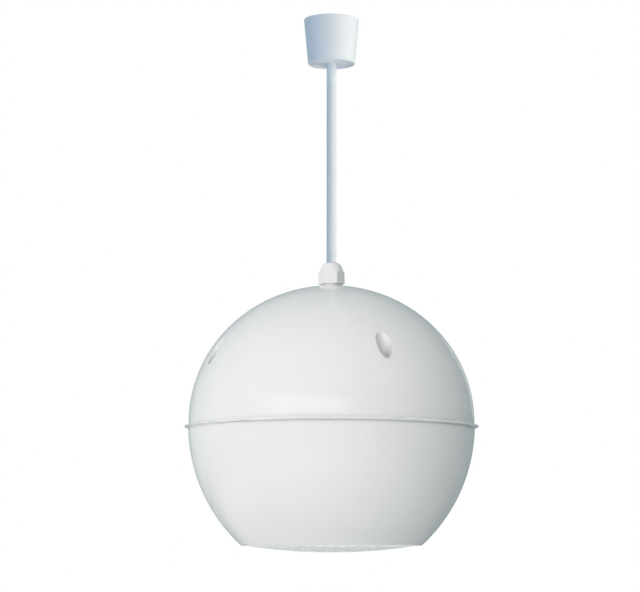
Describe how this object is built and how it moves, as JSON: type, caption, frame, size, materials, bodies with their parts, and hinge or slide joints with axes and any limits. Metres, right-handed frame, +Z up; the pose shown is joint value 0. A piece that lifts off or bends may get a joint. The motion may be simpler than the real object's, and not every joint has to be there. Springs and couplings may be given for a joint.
{
  "type": "pendant speaker",
  "caption": "Round pendant loudspeaker in two shells, hung on its own cord from a small ceiling cup, with a perforated grille facing down.",
  "frame": {"origin": "centre of the hanging eye's bore, on the cord's axis inside the ceiling cup", "axes": "+Z up along the cord, +X along the eye's bore, front as in the picture towards -Y"},
  "size_m": [0.189, 0.189, 0.3482],
  "materials": {
    "cup_plastic": "smooth semi-gloss moulding",
    "shell_plastic": "high-gloss white moulding",
    "cord_sheath": "smooth extruded sheath",
    "gland_plastic": "moulded nylon",
    "nylon": "moulded nylon",
    "terminal_plastic": "moulded",
    "rubber_grey": "soft matt",
    "foam_black": "closed-cell foam",
    "zinc_steel": "bright zinc",
    "copper": "enamelled wire",
    "tab_brass": "tinned",
    "wadding": "polyester wadding",
    "grille_paint": "powder-coated, satin",
    "fleece_black": "acoustic fleece",
    "basket_paint": "black, satin",
    "ferrite": "sintered, matt",
    "cone_paper": "pressed pulp",
    "surround_rubber": "matt",
    "spider_cloth": "resin-dipped weave",
    "lamination": "varnished steel sheets",
    "bobbin_plastic": "moulded",
    "winding_tape": "polyester tape",
    "strip_board": "paper laminate",
    "lead_insulation": "smooth"
  },
  "bodies": {
    "root": {"hanger_body": "nylon", "hanger_saddle": "nylon", "hanger_screws": "zinc_steel", "terminal_block": "terminal_plastic", "terminal_screws": "zinc_steel", "cord_conductors": "lead_insulation", "cord": "cord_sheath", "gland_nut": "gland_plastic", "gland_body": "gland_plastic", "gland_seal": "rubber_grey", "gland_washer": "rubber_grey", "gland_lock_nut": "gland_plastic", "upper_shell": "shell_plastic", "shell_screws": "zinc_steel", "seam_gasket": "rubber_grey", "damping_lining": "wadding", "lower_shell": "shell_plastic", "grille": "grille_paint", "grille_fleece": "fleece_black", "driver_basket": "basket_paint", "driver_gasket": "foam_black", "driver_screws": "zinc_steel", "top_plate": "zinc_steel", "magnet_ring": "ferrite", "yoke": "zinc_steel", "transformer_core": "lamination", "transformer_bobbin": "bobbin_plastic", "transformer_winding": "winding_tape", "transformer_frame": "zinc_steel", "transformer_screws": "zinc_steel", "terminal_strip": "strip_board", "terminal_tabs": "tab_brass", "line_leads": "lead_insulation", "speaker_leads": "lead_insulation"},
    "cup": {"ceiling_cup": "cup_plastic", "cup_grommet": "rubber_grey"},
    "cone": {"cone": "cone_paper", "dust_cap": "cone_paper", "coil_former": "strip_board", "coil_winding": "copper", "surround": "surround_rubber", "spider": "spider_cloth"}
  },
  "joints": [
    {"name": "cup_slide", "type": "slide", "parent": "root", "child": "cup", "axis": [0, 0, -1], "range_m": [0, 0.13]},
    {"name": "cone_travel", "type": "slide", "parent": "root", "child": "cone", "axis": [0, 0, 1], "range_m": [-0.003, 0.003], "stiffness_N_per_m": 1000, "deforming": ["surround", "spider"]}
  ]
}
